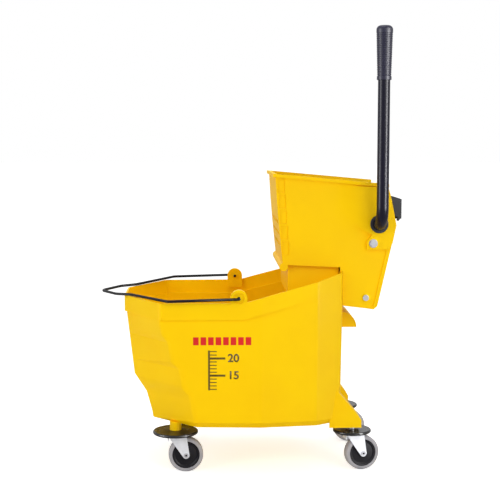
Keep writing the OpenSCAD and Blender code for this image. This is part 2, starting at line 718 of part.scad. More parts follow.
// Bar that ties the tails of the two racks together
function on_arc(r, x) = [x, sqrt(r * r - x * x)];
module rack_tie_bar() color(BLACK) centred() {
    x1 = tail_x - axle_x;
    half = rack_mid_y - rack_w / 2;
    low = rack_r - 0.5;
    translate([axle_x, half, axle_z]) rotate([90, 0, 0]) linear_extrude(2 * half) polygon([
        on_arc(rack_back_r - 1, x1 - 16), on_arc(rack_back_r - 1, x1), on_arc(low + 18, x1),
        on_arc(low, x1 - 9), on_arc(low, x1 - 16)]);
}

// Screws that hold the racks to the press plate
module rack_bolts() color(STEEL) centred() for (s = [-1, 1]) for (dz = [8, 28])
    translate([plate_front_x - 2, s * rack_mid_y, axle_z + rack_r + dz])
        rotate([0, 90, 0]) cylinder(r = 3.4, h = 2);

// ---------------------------------------------------------------- lever

module lever() color(BLACK) centred() {
    far_y = pad_y + bush_flange_t;
    bend_y = -(pad_y + bush_flange_t);
    cross_bar(shaft_x, shaft_z, tube_r, bend_y, far_y);
    translate([shaft_x, bend_y, shaft_z + bend_r]) rotate([0, 90, 0])
        rotate_extrude(angle = -90) translate([bend_r, 0]) circle(r = tube_r);
    translate([shaft_x, lever_y, shaft_z + bend_r])
        cylinder(r = tube_r, h = lever_top_z - 8 - shaft_z - bend_r);
}

// Spur pinion with a hub on its inner side, keyed to the lever's shaft
pinion_hub_r = tube_r + 3.5;
function pin_y(side) = side * (rack_mid_y - pinion_w / 2 - 6);
module pinion(side) color(BLACK) centred() {
    mid_y = side * rack_mid_y;
    root = pinion_r - tooth_root;
    tip = pinion_r + tooth_top;
    dr = turn_of(tooth_root_w, root);
    dm = turn_of(tooth_mid_w, pinion_r);
    dt = turn_of(tooth_tip_w, tip);
    outline = [for (k = [0 : pinion_teeth - 1]) let (a = shaft_lean + k * pinion_pitch)
        each [polar(root, a - dr), polar(pinion_r, a - dm), polar(tip, a - dt),
            polar(tip, a + dt), polar(pinion_r, a + dm), polar(root, a + dr)]];
    hub_end = mid_y - side * (pinion_w / 2 + 12);
    difference() {
        union() {
            translate([shaft_x, mid_y + pinion_w / 2, shaft_z]) rotate([90, 0, 0])
                linear_extrude(pinion_w) polygon(outline);
            cross_bar(shaft_x, shaft_z, pinion_hub_r, min(mid_y, hub_end), max(mid_y, hub_end));
        }
        cross_bar(shaft_x, shaft_z, tube_r + press_gap, -wr_half, wr_half);
        translate([shaft_x, pin_y(side), shaft_z]) cylinder(r = 2.5 + press_gap, h = 100);
    }
}

// Cross pins that key the pinions to the shaft
module pinion_pins() color(STEEL) centred() for (s = [-1, 1])
    translate([shaft_x, pin_y(s), shaft_z + tube_r + 0.05])
        cylinder(r = 2.5, h = pinion_hub_r - tube_r - 0.05);

module shaft_cap() color(BLACK) centred() translate([shaft_x, pad_y + bush_flange_t, shaft_z])
    rotate([-90, 0, 0]) cylinder(r = tube_r + 3.5, h = 4);

// Ribbed hand grip with a rounded end
module grip() color(BLACK) centred() translate([shaft_x, lever_y, lever_top_z]) {
    r = grip_d / 2;
    ribs = 24;
    pitch = (grip_len - 22) / ribs;
    low_r = r - 2.4;
    rib_points = [for (k = [0 : ribs - 1])
        let (z = -grip_len + 8 + pitch * k, rr = low_r + (r - low_r) * k / ribs)
        each [[rr - 0.9, z], [rr - 0.9, z + pitch * 0.35], [rr, z + pitch * 0.5], [rr, z + pitch * 0.9]]];
    rotate_extrude(convexity = 20) polygon(concat([[tube_r + press_gap, -grip_len],
        [low_r + 0.4, -grip_len], [low_r + 0.4, -grip_len + 7]], rib_points,
        [[r, -12]], arc([r - 9, -9], 9, 0, 90, 6), [[0, 0], [0, -8], [tube_r + press_gap, -8]]));
}

// ---------------------------------------------------------------- output

tub();
bail();
stem(0);  // stem_front_left
stem(1);  // stem_front_right
stem(2);  // stem_rear_left
stem(3);  // stem_rear_right
bumper(0);  // bumper_front_left
bumper(1);  // bumper_front_right
bumper(2);  // bumper_rear_left
bumper(3);  // bumper_rear_right
fork(0);  // fork_front_left
fork(1);  // fork_front_right
fork(2);  // fork_rear_left
fork(3);  // fork_rear_right
axle(0);  // axle_front_left
axle(1);  // axle_front_right
axle(2);  // axle_rear_left
axle(3);  // axle_rear_right
hub(0);  // hub_front_left
hub(1);  // hub_front_right
hub(2);  // hub_rear_left
hub(3);  // hub_rear_right
tyre(0);  // tyre_front_left
tyre(1);  // tyre_front_right
tyre(2);  // tyre_rear_left
tyre(3);  // tyre_rear_right
wringer_body();
drain_skirt();
bearing_bolts();
press_rod();
press_rod_caps();
shaft_bush(-1);  // shaft_bush_left
shaft_bush(1);  // shaft_bush_right
press_plate();
rack(-1);  // rack_left
rack(1);  // rack_right
rack_tie_bar();
rack_bolts();
lever();
pinion(-1);  // pinion_left
pinion(1);  // pinion_right
pinion_pins();
shaft_cap();
grip();
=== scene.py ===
# %% [markdown]
# # A mop bucket with a side press wringer
# The construction is already done: every piece stands in its real place and at its real size in
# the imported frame. This script only gives the pieces their looks. It rounds their edges as a
# mould or a press tool would, presses and prints the small details, and paints each surface with
# a procedural material. Lengths are in metres, +Z is up, +X is the rear with the wringer, and -Y
# is the side of the lever.

import math

import bmesh
import bpy
from mathutils import Matrix, Vector
from mathutils.bvhtree import BVHTree


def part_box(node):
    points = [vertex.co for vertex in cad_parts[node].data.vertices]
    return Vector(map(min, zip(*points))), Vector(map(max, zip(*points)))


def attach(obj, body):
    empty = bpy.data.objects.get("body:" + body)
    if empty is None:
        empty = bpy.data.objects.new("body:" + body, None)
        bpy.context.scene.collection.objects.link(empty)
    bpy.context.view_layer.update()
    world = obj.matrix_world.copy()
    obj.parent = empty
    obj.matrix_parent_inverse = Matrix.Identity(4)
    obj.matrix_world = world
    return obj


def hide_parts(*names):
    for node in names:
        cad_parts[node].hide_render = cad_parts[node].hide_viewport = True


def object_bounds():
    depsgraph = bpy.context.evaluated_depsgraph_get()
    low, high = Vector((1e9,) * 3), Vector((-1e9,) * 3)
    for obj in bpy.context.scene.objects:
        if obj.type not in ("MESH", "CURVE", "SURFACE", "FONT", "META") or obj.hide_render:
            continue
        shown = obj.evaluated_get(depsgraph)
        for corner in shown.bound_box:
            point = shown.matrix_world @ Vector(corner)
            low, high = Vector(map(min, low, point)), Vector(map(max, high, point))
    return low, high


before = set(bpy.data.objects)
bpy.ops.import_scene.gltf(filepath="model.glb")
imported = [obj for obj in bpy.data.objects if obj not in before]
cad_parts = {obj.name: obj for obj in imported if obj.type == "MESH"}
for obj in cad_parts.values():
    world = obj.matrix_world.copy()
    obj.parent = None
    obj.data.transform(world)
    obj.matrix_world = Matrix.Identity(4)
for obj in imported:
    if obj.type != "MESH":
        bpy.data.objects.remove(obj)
cad_low, cad_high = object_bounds()
MM = 0.001
SAME_POINT = 0.01 * MM  # corners closer than this are one corner
CORNERS = ("front_left", "front_right", "rear_left", "rear_right")

# %% [markdown]
# ## Rounded copies
# Moulded plastic and stamped steel have no razor edges: every corner has a small radius, and it
# is that radius which catches the light. A CAD mesh comes as loose triangles, so a copy is
# merged, its flat faces are joined again, and a Bevel modifier rounds what is left. The copy
# then stands for the CAD node, which stays untouched for the motion.
#
# A large wall looks calm only if it stays one face. Cut into long thin triangles, it would let
# the rounding of one corner leak across the wall as a streak. Small parts may stay in triangles.

# %% What counts as flat, and as a comb
FLAT_TURN = math.radians(0.5)  # faces that turn by less are joined
AREA_SLACK = 1e-4  # share of the area that joining may change
COMB_CORNERS = 8  # a comb has more corners than this
COMB_RATIO = 150  # and a perimeter squared of more than this many times its area


# %% Helper: a merged copy of a CAD node
def merged_triangles(node):
    """A bmesh of a CAD node whose loose triangles share their corners."""
    bm = bmesh.new()
    bm.from_mesh(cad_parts[node].data)
    bmesh.ops.remove_doubles(bm, verts=bm.verts, dist=SAME_POINT)
    return bm


def is_comb(face):
    """Whether a face winds in and out, so that rounding its edges could fold it."""
    many = len(face.verts) > COMB_CORNERS
    return many and face.calc_perimeter() ** 2 > COMB_RATIO * face.calc_area()


def surface(bm):
    """Area of all faces."""
    return sum(face.calc_area() for face in bm.faces)


def merged_copy(node, name, whole=False):
    """A new mesh object with a CAD node's shape, its triangles merged into flat faces.

    The flat faces are then cut into few triangles. If whole is set, only the combs are cut.
    """
    bm = merged_triangles(node)
    area = surface(bm)
    bmesh.ops.dissolve_limit(bm, angle_limit=FLAT_TURN, verts=bm.verts, edges=bm.edges)
    cut = [face for face in bm.faces if not whole or is_comb(face)]
    bmesh.ops.triangulate(bm, faces=cut)
    filled = bm.copy()
    bmesh.ops.triangulate(filled, faces=filled.faces)
    filled_area = surface(filled)
    filled.free()
    if abs(filled_area / area - 1) > AREA_SLACK:
        bm.free()
        bm = merged_triangles(node)
        print(node, "keeps its own triangles, because joined faces with holes would not close")
    mesh = bpy.data.meshes.new(name)
    bm.to_mesh(mesh)
    bm.free()
    piece = bpy.data.objects.new(name, mesh)
    bpy.context.scene.collection.objects.link(piece)
    return piece


# %% Helper: round the edges
def round_edges(piece, radius, sharp=30, segments=2):
    """Bevels every edge that turns by more than sharp degrees and smooths what lies between.

    The bevel marks its own faces as weak, so the flat faces beside them keep their normals.
    """
    bevel = piece.modifiers.new("round", "BEVEL")
    bevel.width = radius
    bevel.segments = segments
    bevel.limit_method = "ANGLE"
    bevel.angle_limit = math.radians(sharp)
    bevel.miter_outer = "MITER_ARC"
    bevel.use_clamp_overlap = True
    bevel.face_strength_mode = "FSTR_ALL"
    piece.data.shade_smooth()
    weighted = piece.modifiers.new("flat_faces_first", "WEIGHTED_NORMAL")
    weighted.mode = "FACE_AREA"
    weighted.weight = 50
    weighted.keep_sharp = True
    weighted.use_face_influence = True
    return piece


# %% Helper: hand a piece to its body
def dress(piece, body, material, nodes=()):
    """Gives the piece its material and body, and hides the CAD nodes it stands for."""
    piece.data.materials.clear()
    piece.data.materials.append(material)
    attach(piece, body)
    if nodes:
        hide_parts(*nodes)
    return piece


# %% [markdown]
# ## Shared surface effects
# Three effects turn up on nearly every finish: the fine pebble of a mould, slow blotches where
# the colour and the gloss drift a little, and thin scuff lines. Each is one node group with
# named sockets, so each finish can use it at its own scale.


# %% Helper: colours and node groups
def srgb(hex_colour):
    """Linear colour of a written hex value."""
    parts = [int(hex_colour[i : i + 2], 16) / 255 for i in (1, 3, 5)]
    return [c / 12.92 if c <= 0.04045 else ((c + 0.055) / 1.055) ** 2.4 for c in parts] + [1.0]


def start_group(name, inputs, outputs):
    """An empty shader group with float sockets of these names and values."""
    group = bpy.data.node_groups.new(name, "ShaderNodeTree")
    for label, value in inputs:
        socket = group.interface.new_socket(label, in_out="INPUT", socket_type="NodeSocketFloat")
        socket.default_value = value
    for label in outputs:
        group.interface.new_socket(label, in_out="OUTPUT", socket_type="NodeSocketFloat")
    return group, group.nodes.new("NodeGroupInput"), group.nodes.new("NodeGroupOutput")


def link_all(tree, pairs):
    """Links each source socket to its target."""
    for source, target in pairs:
        tree.links.new(source, target)


def math_node(tree, operation, a, b=None, clamp=False):
    """A Math node fed by sockets or numbers."""
    node = tree.nodes.new("ShaderNodeMath")
    node.operation = operation
    node.use_clamp = clamp
    for socket, value in zip(node.inputs, (a, b)):
        if isinstance(value, (int, float)):
            socket.default_value = value
        elif value is not None:
            tree.links.new(value, socket)
    return node.outputs[0]


# %% Group: mould grain
grain_group, grain_in, grain_out = start_group(
    "mould_grain", [("Scale", 900.0), ("Softness", 0.5)], ["Height"]
)
grain_coords = grain_group.nodes.new("ShaderNodeTexCoord")
grain_noise = grain_group.nodes.new("ShaderNodeTexNoise")
grain_noise.inputs["Detail"].default_value = 3.0
link_all(grain_group, [
    (grain_coords.outputs["Object"], grain_noise.inputs["Vector"]),
    (grain_in.outputs["Scale"], grain_noise.inputs["Scale"]),
    (grain_in.outputs["Softness"], grain_noise.inputs["Roughness"]),
    (grain_noise.outputs["Fac"], grain_out.inputs["Height"]),
])

# %% Group: slow blotches
blotch_group, blotch_in, blotch_out = start_group(
    "slow_blotches", [("Scale", 9.0), ("Low", 0.35), ("High", 0.65)], ["Mask"]
)
blotch_coords = blotch_group.nodes.new("ShaderNodeTexCoord")
blotch_noise = blotch_group.nodes.new("ShaderNodeTexNoise")
blotch_noise.inputs["Detail"].default_value = 4.0
blotch_range = blotch_group.nodes.new("ShaderNodeMapRange")
link_all(blotch_group, [
    (blotch_coords.outputs["Object"], blotch_noise.inputs["Vector"]),
    (blotch_in.outputs["Scale"], blotch_noise.inputs["Scale"]),
    (blotch_noise.outputs["Fac"], blotch_range.inputs["Value"]),
    (blotch_in.outputs["Low"], blotch_range.inputs["From Min"]),
    (blotch_in.outputs["High"], blotch_range.inputs["From Max"]),
    (blotch_range.outputs["Result"], blotch_out.inputs["Mask"]),
])

# %% Group: scuff lines
SCUFF_SLANT = 0.35  # how far a scuff leans from the upright
SCUFF_SHARPNESS = 60.0  # a larger number makes thinner lines
scuff_group, scuff_in, scuff_out = start_group(
    "scuff_lines", [("Scale", 12.0), ("Stretch", 14.0), ("Amount", 0.3)], ["Mask"]
)
scuff_coords = scuff_group.nodes.new("ShaderNodeTexCoord")
scuff_split = scuff_group.nodes.new("ShaderNodeSeparateXYZ")
scuff_join = scuff_group.nodes.new("ShaderNodeCombineXYZ")
scuff_noise = scuff_group.nodes.new("ShaderNodeTexNoise")
scuff_noise.inputs["Detail"].default_value = 5.0
scuff_noise.inputs["Distortion"].default_value = 0.4
link_all(scuff_group, [
    (scuff_coords.outputs["Object"], scuff_split.inputs[0]),
    (scuff_split.outputs["Y"], scuff_join.inputs["Y"]),
    (scuff_join.outputs[0], scuff_noise.inputs["Vector"]),
    (scuff_in.outputs["Scale"], scuff_noise.inputs["Scale"]),
])
scuff_height = scuff_split.outputs["Z"]
leaning = math_node(scuff_group, "MULTIPLY", scuff_height, SCUFF_SLANT)
slanted = math_node(scuff_group, "ADD", scuff_split.outputs["X"], leaning)
stretched = math_node(scuff_group, "MULTIPLY", scuff_height, scuff_in.outputs["Stretch"])
off_middle = math_node(scuff_group, "SUBTRACT", scuff_noise.outputs["Fac"], 0.5)
scuff_ridge = math_node(scuff_group, "ABSOLUTE", off_middle)
faded = math_node(scuff_group, "MULTIPLY", scuff_ridge, SCUFF_SHARPNESS)
scuff_line = math_node(scuff_group, "SUBTRACT", 1.0, faded, clamp=True)
scuff_mask = math_node(scuff_group, "MULTIPLY", scuff_line, scuff_in.outputs["Amount"])
link_all(scuff_group, [
    (slanted, scuff_join.inputs["X"]),
    (stretched, scuff_join.inputs["Z"]),
    (scuff_mask, scuff_out.inputs["Mask"]),
])
print("node groups", [g.name for g in bpy.data.node_groups])


# %% [markdown]
# ## Finishes
# Every finish here is one Principled shader with the same three effects at its own strength:
# the colour drifts a little towards a second shade, the roughness drifts with it, scuffs dull
# the gloss, and the grain goes into a Bump node. Numbers that hold for the whole surface, such
# as Metallic or the specular level, are set on the shader itself. The yellow has a very low
# specular level, because the bright surroundings would wash its colour out at a slant.

# %% What all finishes share
GLOSS_DRIFT = 0.06  # roughness that a blotch adds
SCUFF_DULLING = 0.25  # roughness that a full scuff adds


# %% Helper: a finish
def finish(
    name, colour, second, roughness, grain=900.0, relief=0.02, scuffs=0.2, blotches=9.0,
    metallic=0.0, specular=0.5,
):
    """A Principled material with drift in colour and gloss, scuffs and a fine relief in mm."""
    material = bpy.data.materials.new(name)
    material.use_nodes = True
    tree = material.node_tree
    shader = tree.nodes["Principled BSDF"]
    shader.inputs["Metallic"].default_value = metallic
    shader.inputs["Specular IOR Level"].default_value = specular
    groups = {}
    for label in ("slow_blotches", "scuff_lines", "mould_grain"):
        groups[label] = tree.nodes.new("ShaderNodeGroup")
        groups[label].node_tree = bpy.data.node_groups[label]
    groups["slow_blotches"].inputs["Scale"].default_value = blotches
    groups["scuff_lines"].inputs["Amount"].default_value = scuffs
    groups["mould_grain"].inputs["Scale"].default_value = grain
    mix = tree.nodes.new("ShaderNodeMix")
    mix.data_type = "RGBA"
    mix.inputs["A"].default_value = srgb(colour)
    mix.inputs["B"].default_value = srgb(second)
    blotch_mask = groups["slow_blotches"].outputs["Mask"]
    drifted = math_node(tree, "MULTIPLY", blotch_mask, GLOSS_DRIFT)
    dulled = math_node(tree, "MULTIPLY", groups["scuff_lines"].outputs["Mask"], SCUFF_DULLING)
    total = math_node(tree, "ADD", math_node(tree, "ADD", drifted, dulled), roughness)
    bump = tree.nodes.new("ShaderNodeBump")
    bump.inputs["Distance"].default_value = relief * MM
    link_all(tree, [
        (blotch_mask, mix.inputs["Factor"]),
        (mix.outputs["Result"], shader.inputs["Base Color"]),
        (total, shader.inputs["Roughness"]),
        (groups["mould_grain"].outputs["Height"], bump.inputs["Height"]),
        (bump.outputs["Normal"], shader.inputs["Normal"]),
    ])
    return material


# %% The finishes of this bucket
YELLOW = finish(
    "yellow_polypropylene", "#fed002", "#fccb01", 0.42, relief=0.05, grain=700, specular=0.05
)
YELLOW_PRESS = finish(
    "yellow_press_moulding", "#fece02", "#fbc901", 0.42, relief=0.05, grain=700, specular=0.05
)
WIRE = finish(
    "black_dipped_wire", "#09080e", "#100f15", 0.4, grain=1500, relief=0.04, scuffs=0.5,
    specular=0.12,
)
TUBE = finish(
    "black_powder_coat", "#100e22", "#0d0b1d", 0.3, grain=1800, relief=0.005, scuffs=0.2,
    specular=0.15,
)
GRIP = finish(
    "black_vinyl_grip", "#181730", "#1e1d36", 0.4, grain=2200, relief=0.01, scuffs=0.3,
    specular=0.28,
)
BLACK = finish(
    "black_moulding", "#1a1a22", "#22222c", 0.42, grain=1200, relief=0.05, specular=0.3
)
BUMPER = finish(
    "black_bumper_rubber", "#0b0b10", "#121219", 0.24, grain=1400, relief=0.04, specular=0.35
)
TYRE = finish(
    "grey_tyre_rubber", "#b0adb1", "#9f9da2", 0.6, grain=1600, relief=0.08, blotches=40,
    specular=0.25,
)
CORE = finish(
    "charcoal_wheel_core", "#131117", "#1b1920", 0.45, grain=1500, relief=0.06, specular=0.15
)
FORK = finish(
    "bright_zinc_sheet", "#d6d8de", "#cbcdd3", 0.5, grain=500, relief=0.01, blotches=60,
    metallic=0.35,
)
ZINC = finish(
    "zinc_plated_steel", "#b9bac0", "#a3a4aa", 0.3, grain=600, relief=0.01, blotches=70,
    metallic=1.0,
)
RED_PRINT = finish(
    "red_stamping_foil", "#dd1c14", "#d0140f", 0.4, grain=700, relief=0.03, specular=0.25
)
DARK_PRINT = finish(
    "olive_stamping_foil", "#5d4a06", "#6e5806", 0.45, grain=700, relief=0.03, specular=0.25
)
print("finishes", [m.name for m in bpy.data.materials])

# %% [markdown]
# ## The tub
# One deep polypropylene moulding with drafted walls, a band round the rim, two ears for the
# bail, two hollow legs for the rear casters and a tipping hood on the back wall.

# %% The tub's shell
tub = round_edges(merged_copy("tub", "tub_shell", whole=True), 1.2 * MM, segments=3)
dress(tub, "tub", YELLOW, ["tub"])
print("tub shell", len(tub.data.polygons), "faces before rounding")

# %% [markdown]
# The print on the side repeats one short bar, so one small Geometry Nodes tree makes its rows:
# a line of points, a flat bar on each, realized and given its material. A bar could be drawn in
# the shader instead, but a mesh stays crisp from any distance. The row is then laid on the
# sloping wall by casting each of its points onto the shell, and gets its thickness there.


# %% Geometry Nodes: a row of bars
def bar_row_tree():
    """Tree with sockets Count, Pitch, Length, Width and Material: bars one pitch apart."""
    tree = bpy.data.node_groups.new("bar_row", "GeometryNodeTree")
    for label, kind, value in (
        ("Count", "NodeSocketInt", 4), ("Pitch", "NodeSocketVector", (0, 0, 0.01)),
        ("Length", "NodeSocketFloat", 0.02), ("Width", "NodeSocketFloat", 0.002),
        ("Material", "NodeSocketMaterial", None),
    ):
        socket = tree.interface.new_socket(label, in_out="INPUT", socket_type=kind)
        if value is not None:
            socket.default_value = value
    tree.interface.new_socket("Geometry", in_out="OUTPUT", socket_type="NodeSocketGeometry")
    start, end = tree.nodes.new("NodeGroupInput"), tree.nodes.new("NodeGroupOutput")
    line = tree.nodes.new("GeometryNodeMeshLine")
    grid = tree.nodes.new("GeometryNodeMeshGrid")
    grid.inputs["Vertices X"].default_value = 9
    grid.inputs["Vertices Y"].default_value = 5
    stand = tree.nodes.new("GeometryNodeTransform")
    stand.inputs["Rotation"].default_value = (math.radians(90), 0, 0)
    place = tree.nodes.new("GeometryNodeInstanceOnPoints")
    realize = tree.nodes.new("GeometryNodeRealizeInstances")
    paint = tree.nodes.new("GeometryNodeSetMaterial")
    link_all(tree, [
        (start.outputs["Count"], line.inputs["Count"]),
        (start.outputs["Pitch"], line.inputs["Offset"]),
        (start.outputs["Length"], grid.inputs["Size X"]),
        (start.outputs["Width"], grid.inputs["Size Y"]),
        (grid.outputs["Mesh"], stand.inputs["Geometry"]),
        (line.outputs["Mesh"], place.inputs["Points"]),
        (stand.outputs["Geometry"], place.inputs["Instance"]),
        (place.outputs["Instances"], realize.inputs["Geometry"]),
        (realize.outputs["Geometry"], paint.inputs["Geometry"]),
        (start.outputs["Material"], paint.inputs["Material"]),
        (paint.outputs["Geometry"], end.inputs["Geometry"]),
    ])
    return tree


BAR_ROW = bar_row_tree()
print("tree", BAR_ROW.name, len(BAR_ROW.nodes), "nodes")


# %% Helper: run the tree and keep a plain mesh
def bar_row(name, start, **sizes):
    """A plain mesh object: a row of bars whose first one is centred at start."""
    holder = bpy.data.objects.new(name, bpy.data.meshes.new(name))
    bpy.context.scene.collection.objects.link(holder)
    maker = holder.modifiers.new("bars", "NODES")
    maker.node_group = BAR_ROW
    for item in BAR_ROW.interface.items_tree:
        if item.item_type == "SOCKET" and item.in_out == "INPUT" and item.name in sizes:
            maker[item.identifier] = sizes[item.name]
    graph = bpy.context.evaluated_depsgraph_get()
    mesh = bpy.data.meshes.new_from_object(holder.evaluated_get(graph))
    mesh.transform(Matrix.Translation(start))
    holder.modifiers.clear()
    holder.data = mesh
    return holder


# %% Helper: lay a flat shape on the side wall
PRINT_PROUD = 0.3 * MM
PRINT_SUNK = 0.15 * MM
TUB_TREE = BVHTree.FromObject(tub, bpy.context.evaluated_depsgraph_get())


def lay_on_wall(piece):
    """Moves each point of a flat shape onto the near side wall and gives the shape thickness."""
    bm = bmesh.new()
    bm.from_mesh(piece.data)
    bmesh.ops.remove_doubles(bm, verts=bm.verts, dist=SAME_POINT)
    inwards = Vector((0, 1, 0))
    for vert in bm.verts:
        hit, normal, _, _ = TUB_TREE.ray_cast(Vector((vert.co.x, -1, vert.co.z)), inwards)
        vert.co = hit + normal * PRINT_PROUD
    bm.normal_update()
    if sum(f.normal.y * f.calc_area() for f in bm.faces) > 0:
        bmesh.ops.reverse_faces(bm, faces=bm.faces)
    made = bmesh.ops.extrude_face_region(bm, geom=list(bm.faces))
    back = [f for f in made["geom"] if isinstance(f, bmesh.types.BMFace)]
    for vert in {v for f in back for v in f.verts}:
        vert.co.y += PRINT_PROUD + PRINT_SUNK
    bmesh.ops.recalc_face_normals(bm, faces=bm.faces)
    bm.to_mesh(piece.data)
    bm.free()
    return piece


# %% [markdown]
# The print on the side is a plain litre scale with a dashed red line at the full mark. Such a
# scale is hot stamped from foil on a real bucket, so it lies almost flush with the wall.

# %% The printed litre scale
FULL_X = -114.2 * MM  # middle of the full line's first dash
FULL_Z = 297.6 * MM  # height of the full line
SCALE_X = -78 * MM  # middle of the short ticks
LITRE = 7.4 * MM  # height of one litre
full_line = bar_row(
    "full_line_print", (FULL_X, 0, FULL_Z), Count=8, Pitch=(15.6 * MM, 0, 0),
    Length=11.5 * MM, Width=17 * MM, Material=RED_PRINT,
)
dress(lay_on_wall(full_line), "tub", RED_PRINT)
short_ticks = bar_row(
    "litre_ticks_print", (SCALE_X, 0, FULL_Z - 3 * LITRE), Count=12, Pitch=(0, 0, -LITRE),
    Length=14 * MM, Width=2 * MM, Material=DARK_PRINT,
)
long_ticks = bar_row(
    "five_litre_ticks_print", (SCALE_X + 8 * MM, 0, FULL_Z - 5 * LITRE), Count=2,
    Pitch=(0, 0, -5 * LITRE), Length=34 * MM, Width=4.4 * MM, Material=DARK_PRINT,
)
spine = bar_row(
    "scale_spine_print", (SCALE_X - 9 * MM, 0, FULL_Z - 8.5 * LITRE), Count=1,
    Pitch=(0, 0, 1 * MM), Length=4 * MM, Width=86 * MM, Material=DARK_PRINT,
)
for print_piece in (short_ticks, long_ticks, spine):
    dress(lay_on_wall(print_piece), "tub", DARK_PRINT)
print("full line at", FULL_Z, "and ticks every", LITRE)

# %% The numbers on the scale
UPRIGHT = Matrix.Rotation(math.radians(90), 4, "X")
for litres, z in ((20, FULL_Z - 5 * LITRE), (15, FULL_Z - 10 * LITRE)):
    text = bpy.data.curves.new(f"litres_{litres}", "FONT")
    text.body = str(litres)
    text.size = 24 * MM
    text.offset = 0.6 * MM
    text.align_y = "CENTER"
    writing = bpy.data.objects.new(f"litres_{litres}", text)
    bpy.context.scene.collection.objects.link(writing)
    graph = bpy.context.evaluated_depsgraph_get()
    number_mesh = bpy.data.meshes.new_from_object(writing.evaluated_get(graph))
    bpy.data.objects.remove(writing)
    number_mesh.transform(Matrix.Translation((SCALE_X + 30 * MM, 0, z)) @ UPRIGHT)
    number = bpy.data.objects.new(f"litres_{litres}_print", number_mesh)
    bpy.context.scene.collection.objects.link(number)
    dress(lay_on_wall(number), "tub", DARK_PRINT)
    print("number", litres, "at", round(z, 4))

# %% [markdown]
# ## The wringer and the bail
# The wringer's chamber is moulded in the same plastic from another tool, so it has its own
# finish and a slightly smaller edge radius. The bail is bent from one wire and dipped in black
# vinyl. Its round section needs no bevel, only smooth shading.

# %% The wringer's mouldings
for node in ("wringer_body", "drain_skirt"):
    whole = node == "wringer_body"
    moulding = round_edges(merged_copy(node, node + "_moulding", whole), 0.9 * MM)
    dress(moulding, "wringer", YELLOW_PRESS, [node])
    print(moulding.name, len(moulding.data.polygons), "faces before rounding")

# %% The bail
bail = merged_copy("bail", "bail_wire")
bail.data.shade_smooth()
dress(bail, "bail", WIRE, ["bail"])
print("bail wire", len(bail.data.polygons), "faces")

# %% [markdown]
# ## The casters
# A fork is stamped from sheet steel. The press leaves a raised border round each leg, which
# makes the leg stiff and shows as a bright outline. The border is made by insetting the leg's
# outer face and pressing its middle in by half a millimetre. The axle's bolt gets a drive hole,
# whose inside is coloured with the dark wheel-core finish as painted shade.

# %% Sizes of the pressed details
LEG_BORDER = 2.0 * MM
LEG_DEPTH = 0.5 * MM
HOLE_RIM = 2.8 * MM
HOLE_DEPTH = 1.2 * MM
HOLE_SLOPE = 0.1 * MM
SAME_WAY = 0.999  # least dot product of two normals that point the same way
OUTER_LAYER = 0.05 * MM  # faces this close to the outermost point are outer faces
UPRIGHT_NORMAL = 0.01  # an upright face's normal has less height than this


# %% Helper: press the middle of a fork's legs
def outer_faces(bm, way, origin):
    """The flat faces that look along way and lie furthest out in that direction."""
    reach = max(way.dot(v.co - origin) for v in bm.verts)
    return [
        f for f in bm.faces
        if f.normal.dot(way) > SAME_WAY
        and way.dot(f.calc_center_median() - origin) > reach - OUTER_LAYER
    ]


def press_legs(piece, axle_node):
    """Insets the two outer faces of a fork across its axle and sinks what lies within."""
    low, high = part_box(axle_node)
    middle_of_axle = (low + high) / 2
    bm = bmesh.new()
    bm.from_mesh(piece.data)
    bm.normal_update()
    upright = [f for f in bm.faces if abs(f.normal.z) < UPRIGHT_NORMAL]
    across = max(upright, key=lambda f: f.calc_area()).normal.copy()
    for way in (across, -across):
        bmesh.ops.inset_region(
            bm, faces=outer_faces(bm, way, middle_of_axle), thickness=LEG_BORDER,
            depth=-LEG_DEPTH, use_even_offset=True, use_boundary=True,
        )
    bm.to_mesh(piece.data)
    bm.free()


# %% Helper: a drive hole in a bolt's round head
def drive_hole(piece, hole_shade_paint):
    """Insets the round face that points to the lever's side, sinks its middle and colours the hole
    dark as painted shade.
    """
    bm = bmesh.new()
    bm.from_mesh(piece.data)
    bm.normal_update()
    out = min(bm.faces, key=lambda f: f.calc_center_median().y).normal.copy()
    middle = outer_faces(bm, out, Vector((0, 0, 0)))
    bmesh.ops.inset_region(bm, faces=middle, thickness=HOLE_RIM, depth=0)
    walls = bmesh.ops.inset_region(bm, faces=middle, thickness=HOLE_SLOPE, depth=-HOLE_DEPTH)
    # painted shade: the hole's faces take the dark second finish, though the bolt is zinc inside
    for hollow in middle + walls["faces"]:
        hollow.material_index = 1
    bm.to_mesh(piece.data)
    bm.free()
    piece.data.materials.append(hole_shade_paint)


# %% The casters' pieces
for corner in CORNERS:
    parts = [
        ("stem_", "tub", ZINC, "zinc", 0.4), ("bumper_", "tub", BUMPER, "black_bumper", 0.3),
        ("fork_", "fork_" + corner, FORK, "zinc_fork", 0.5),
        ("axle_", "fork_" + corner, ZINC, "zinc", 0.35),
        ("hub_", "wheel_" + corner, CORE, "core_plastic", 0.4),
        ("tyre_", "wheel_" + corner, TYRE, "grey_tyre", 0.4),
    ]
    for prefix, body, material, slot, radius in parts:
        node = prefix + corner
        piece = merged_copy(node, node + "_finished")
        if prefix == "fork_":
            press_legs(piece, "axle_" + corner)
        dress(round_edges(piece, radius * MM), body, material, [node])
        if prefix == "axle_":
            # the charcoal core finish stands in for the shade inside the drive hole
            drive_hole(piece, CORE)
print("casters", len(CORNERS), "of", len(parts), "pieces each")

# %% [markdown]
# ## The press and its lever
# Pulling the lever turns two pinions on a cross shaft. They drive the racks on the press plate,
# which squeezes the mop against the front wall. Each row below gives a node, the body that it
# moves with, its finish, its record slot and its edge radius in millimetres.

